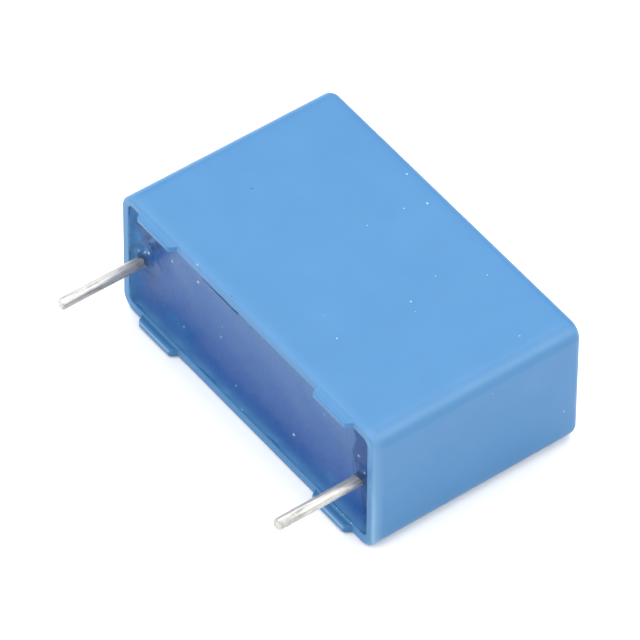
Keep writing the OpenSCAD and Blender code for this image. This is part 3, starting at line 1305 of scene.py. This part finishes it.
    def fields(self, points: Array) -> dict[Skin, Array]:
        """The fields at points of the resin, with the smudges added.

        Args:
            points: Points by XYZ.

        Returns:
            One value from 0 to 1 for each point, by field. Painted sheen and film fade out below the
            surface.
        """
        x, z = points[:, 0], points[:, 2] - self.sizes.core_shift
        past_soft, sunk = 0.12 * MM, 0.3 * MM
        past_murk, corner_murk, corner_gloss, ring_gloss = 0.4, 0.12, 0.2, 2
        past = ramp(self.past_crease(x, z), 0, past_soft)
        corner, rings = self.corner_window(x, z), self.rings(x, z)
        # Painted shade: rings at the roots and bubbles, the puckered corner, the zone past the crease, and
        # the slit where the resin has parted.
        murk = rings + corner_murk * corner * (1 + self.clouding.at(x, z)) + past_murk * past
        fields = {Skin.SHEEN: self.sheen(x, z, past), Skin.FILM: self.film(x, z),
                  Skin.MURK: np.clip(murk + self.parted(x, z), 0, 1),
                  Skin.GLOSS: np.clip(corner_gloss * corner + ease(ring_gloss * rings), 0, 1),
                  Skin.AIR: self.air(x, z)}
        for smudge in self.smudges:
            fields[smudge.skin] = fields[smudge.skin] + smudge.share(x, z)
        above = ramp(points[:, 1], self.surface_y + sunk, self.surface_y)
        return {skin: np.clip(values, 0, 1) * (above if skin in (Skin.SHEEN, Skin.FILM) else 1)
                for skin, values in fields.items()}

    def build(self, material: Material) -> Object:
        """Joins the bottom, the sides and the uneven surface into one closed solid, with its bubbles.

        Args:
            material: Finish of the resin.

        Returns:
            The resin, with the fields of its points.
        """
        inset, shift = self.sizes.wall - self.lap, self.sizes.core_shift
        x, z = self.loop.shrink(inset, np.linspace(0, 1, num=6))
        bottom = np.stack([x, np.full_like(x, self.floor_y - self.floor_gap), z], -1)
        depth = self.loop.half_thickness - inset
        beside = np.concatenate([span(*(length * MM for length in row)) for row in self.wall_rows])
        middle = span(depth - self.middle_inset, 0, self.middle_step)
        x, z = self.loop.shrink(inset, np.concatenate([1 - beside / depth, middle / depth]))
        top = np.stack([x, self.height(x, z), z], -1)
        down = np.linspace(1, 0, num=7)[1:-1, None, None]
        sides = bottom[-1] * down + top[0] * (1 - down)
        patches = [Patch(np.concatenate([bottom, sides, top]) + UP * shift)]
        for bubble in self.bubbles:
            surface_y = float(self.height(np.array([bubble.x * MM]), np.array([bubble.z * MM]))[0])
            patches.append(bubble.shell(surface_y, shift))
        piece = make_piece("cast_resin", patches, material, "epoxy_fill")
        for skin, values in self.fields(mesh_points(piece.data)).items():
            write_field(piece.data, skin, values)
        return piece


@dataclass(frozen=True)
class Facets:
    """Faint flats that drawing leaves along a wire: their number round it, depth, phase and twist."""

    count: int
    depth: float
    phase: float
    twist_per_metre: float = 0.0

    def at(self, angle: Array, y: Array) -> Array:
        """Share of the radius that is missing: the depth times 1 plus a cosine wave round the wire."""
        return self.depth * (1 + np.cos(self.count * angle + self.phase + self.twist_per_metre * y))


@dataclass
class WireLead:
    """One lead: a straight free wire with a sheared end, set inwards inside the resin and welded."""

    end: End
    node_box: Box
    pitch_x: float
    radius: float = 0.4 * MM
    rim_y: float = 0.5 * MM
    set_out: float = 0.6 * MM
    bend_radius: float = 7.5 * MM
    bend_rise: float = 2.1 * MM
    columns: int = 54
    free_step: float = 0.16 * MM
    hidden_step: float = 0.3 * MM
    nose: float = 0.11 * MM
    face_shares: tuple[float, ...] = (0, 0.45, 0.8)
    shear_rise: float = 0.05 * MM
    shear_turn: float = 0.8
    shear_reach: float = 0.12 * MM
    swell: Waver = Waver(0.006, 1.1 * MM, seed=31)
    swell_half: float = 0.3 * MM
    facets: tuple[Facets, ...] = (Facets(6, 0.012, 0.9, 40), Facets(9, 0.004, 2.1))

    def axis_x(self, y: Array) -> Array:
        """X of the wire's axis over its height: straight, two equal arcs, and straight again.

        Args:
            y: Heights.

        Returns:
            The distance from the middle of the part at each height.
        """
        low, big = y - self.rim_y, self.bend_radius
        first = big - np.sqrt(np.clip(big**2 - np.clip(low, 0, self.bend_rise) ** 2, 0, None))
        rest = np.clip(2 * self.bend_rise - low, 0, self.bend_rise)
        second = big - np.sqrt(big**2 - rest**2)
        inwards = np.where(low < self.bend_rise, first, self.set_out - second)
        return self.pitch_x - inwards

    def dents(self, y: Array, angle: Array) -> Array:
        """Share of the radius that is left: 1 less a slow swell and the drawn facets."""
        swell = self.swell.at(y + 0 * angle, self.swell_half * np.cos(angle) + 0 * y)
        return 1 - (self.swell.size + swell) - sum(facets.at(angle, y) for facets in self.facets)

    def build(self, material: Material) -> Object:
        """Carries a circle along the axis.

        The ring at height y is the axis plus the radius times (cos q, 0, sin q), tilted with the axis. The
        radius swells and shrinks by a few micrometres, and closes over the sheared tip in a small nose.

        Args:
            material: Finish of the wire.

        Returns:
            The lead.
        """
        low, high = self.node_box[0].y, self.node_box[1].y
        turn = np.linspace(0, QUARTER_TURN, num=7)[1:]
        face = np.array(self.face_shares)
        tip_share = np.concatenate([face, face[-1] + (1 - face[-1]) * np.sin(turn)])
        tip_y = low + np.concatenate([0 * face, self.nose * (1 - np.cos(turn))])
        free_start, hidden_start = low + 0.2 * MM, self.rim_y + 0.1 * MM
        body_y = np.concatenate([span(free_start, self.rim_y, self.free_step),
                                 span(hidden_start, high, self.hidden_step)])
        y = column(np.concatenate([tip_y, body_y, [high]]))
        share = column(np.concatenate([tip_share, np.ones(len(body_y)), [0]]))
        angle = np.linspace(0, FULL_TURN, self.columns, endpoint=False)[None, :]
        reach = self.radius * share * self.dents(y, angle)
        near_tip = ramp(y, low + self.shear_reach, low)
        shear = self.shear_rise * (1 + np.sin(angle + self.shear_turn)) * near_tip
        # A hair between the rows that share a height keeps their slope finite.
        hairs = np.arange(len(y)) * 1e-12
        slope = np.gradient(self.axis_x(y[:, 0]), y[:, 0] + hairs)[:, None]
        slope[share[:, 0] < 1] = 0
        x = self.end.value * (self.axis_x(y) + reach * np.cos(angle))
        up = y + shear * share - reach * np.cos(angle) * slope
        points = np.stack([x, np.minimum(up, high), reach * np.sin(angle)], -1)
        side = self.end.name.lower()
        return make_piece(f"wire_lead_{side}", [Patch(points)], material, f"lead_{side}")


@dataclass
class FilmElement:
    """Hidden winding and its sprayed ends, which keep the frame's own meshes."""

    nodes: dict[str, Object]

    def dress(self, film: Material, zinc: Material) -> None:
        """Gives the carried-over nodes their finishes.

        Args:
            film: Finish of the winding.
            zinc: Finish of both sprayed ends.
        """
        finishes = {"film_winding": film, "end_spray_left": zinc, "end_spray_right": zinc}
        for node, material in finishes.items():
            mesh = self.nodes[node].data
            mesh.materials.clear()
            mesh.materials.append(material)
            log.info("%s: finish %s", node, material.name)


# ---------------------------------------------------------------------------------------------------
# The studio


@dataclass(frozen=True)
class Softbox:
    """A square soft light that faces the part."""

    name: str
    direction: tuple[float, float, float]
    distance: float
    size: float
    power: float
    tint: tuple[float, float, float] = (1.0, 1.0, 1.0)

    def place(self, target: Vector) -> Object:
        """Adds the light.

        Args:
            target: Point that it faces.

        Returns:
            The light.
        """
        lamp = bpy.data.lights.new(self.name, "AREA")
        lamp.size = self.size
        lamp.energy = self.power
        lamp.color = self.tint
        light = bpy.data.objects.new(self.name, lamp)
        back = Vector(self.direction).normalized()
        light.location = target + back * self.distance
        light.rotation_euler = (-back).to_track_quat("-Z", "Y").to_euler()
        bpy.context.scene.collection.objects.link(light)
        return light


@dataclass
class Studio:
    """White floor, even light from all round, and softboxes."""

    whole: Box
    effects: SharedEffects
    floor_half: float = 0.9
    floor_points: int = 9
    horizon: Colour = (0.66, 0.67, 0.69, 1)
    zenith: Colour = (0.97, 0.98, 1.0, 1)
    zenith_from: float = 0.7
    sky_strength: float = 1.2
    softboxes: tuple[Softbox, ...] = (
        Softbox("overhead_softbox", (-0.25, 0.2, 1.0), distance=0.45, size=0.42, power=1.5),
        Softbox("right_softbox", (0.64, 0.34, 0.69), distance=0.4, size=0.3, power=0.6,
                tint=(1.0, 0.96, 0.88)),
        Softbox("front_fill", (-0.35, -0.9, 0.5), distance=0.5, size=0.3, power=1.0,
                tint=(1.0, 0.95, 0.88)),
    )

    def floor(self) -> Object:
        """Flat grid at the lowest point of the part.

        Returns:
            The floor, set apart from the part.
        """
        count = self.floor_points
        steps = np.linspace(-self.floor_half, self.floor_half, count)
        x, y = np.meshgrid(steps, steps)
        points = np.stack([x, y, np.full_like(x, self.whole[0].z)], -1).reshape(-1, 3)
        index = np.arange(count * count).reshape(count, count)
        corners = (index[:-1, :-1], index[:-1, 1:], index[1:, 1:], index[1:, :-1])
        quads = np.stack(corners, -1).reshape(-1, 4)
        mesh = bpy.data.meshes.new("floor")
        mesh.from_pydata(points.tolist(), [], quads.tolist())
        mesh.materials.append(PaleFloor(self.effects).build())
        floor = bpy.data.objects.new("floor", mesh)
        bpy.context.scene.collection.objects.link(floor)
        floor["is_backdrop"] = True
        return floor

    def world(self) -> None:
        """Even light that is whitest overhead and greyer towards the horizon."""
        world = bpy.data.worlds.new("studio")
        world.use_nodes = True
        graph = Graph(world.node_tree)
        graph.tree.nodes.clear()
        direction = graph.node("ShaderNodeTexCoord").outputs["Generated"]
        height = graph.node("ShaderNodeSeparateXYZ", {0: direction}).outputs["Z"]
        rise = graph.node("ShaderNodeMapRange", {"Value": height, "From Max": self.zenith_from})
        colour = graph.mix(rise.outputs[0], self.horizon, self.zenith)
        shader = graph.node("ShaderNodeBackground", {"Color": colour, "Strength": self.sky_strength})
        graph.node("ShaderNodeOutputWorld", {"Surface": shader.outputs[0]})
        bpy.context.scene.world = world

    def light(self) -> None:
        """Adds the world's light and the softboxes, and shows colours as they are."""
        self.world()
        target = (self.whole[0] + self.whole[1]) / 2
        for softbox in self.softboxes:
            softbox.place(target)
        bpy.context.scene.view_settings.view_transform = "Standard"


@dataclass(frozen=True)
class Viewpoint:
    """The camera: a long lens from the front right and above, turned a little about its own axis."""

    azimuth: float = math.radians(52.985)
    elevation: float = math.radians(47.16)
    roll: float = math.radians(0.5)
    distance: float = 522.45 * MM
    lens: float = 476.4
    aim_in: float = 0.27 * MM
    aim_right: float = -1.903 * MM
    aim_up: float = -0.362 * MM
    nearest: float = 0.05
    farthest: float = 20.0

    def place(self, case: Box) -> Object:
        """Adds the camera, aimed near the middle of the case.

        Args:
            case: Box of the case.

        Returns:
            The camera.
        """
        a, e = self.azimuth, self.elevation
        back = Vector((math.sin(a) * math.cos(e), -math.cos(a) * math.cos(e), math.sin(e)))
        level = Vector((math.cos(a), math.sin(a), 0))
        upright = back.cross(level)
        right = math.cos(self.roll) * level + math.sin(self.roll) * upright
        up = math.cos(self.roll) * upright - math.sin(self.roll) * level
        target = Vector((0, (case[0].y + case[1].y) / 2 + self.aim_in, 0))
        data = bpy.data.cameras.new("camera")
        data.lens = self.lens
        data.clip_start, data.clip_end = self.nearest, self.farthest
        camera = bpy.data.objects.new("camera", data)
        camera.matrix_world = Matrix((right, up, back)).transposed().to_4x4()
        camera.location = target + back * self.distance + right * self.aim_right + up * self.aim_up
        bpy.context.scene.collection.objects.link(camera)
        bpy.context.scene.camera = camera
        return camera


def main() -> None:
    """Builds the classes in order."""
    logging.basicConfig(level=logging.INFO, format="%(name)s: %(message)s")
    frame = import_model()
    solid_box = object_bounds()
    mounts = {m["name"]: m for m in frame["record"]["mounts"]}
    pitch_x = mounts["lead_right"]["pos_m"][0]
    effects = SharedEffects.build()
    case = MouldedCase(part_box("case"))
    case.build(MouldedPlastic(effects).build())
    fine_loop = case.loop.with_steps(along=0.1 * MM, across=0.065 * MM, corner_steps=8)
    ResinFill(fine_loop, case.sizes, case.floor_y, pitch_x).build(CastResin(effects).build())
    tin = TinnedWire(effects).build()
    for end in End:
        WireLead(end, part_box(f"lead_{end.name.lower()}"), pitch_x).build(tin)
    FilmElement(frame["nodes"]).dress(MetallisedFilm(effects).build(), SprayedZinc(effects).build())
    studio = Studio(solid_box, effects)
    studio.floor()
    studio.light()
    Viewpoint().place(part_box("case"))


if __name__ == "__main__":
    main()
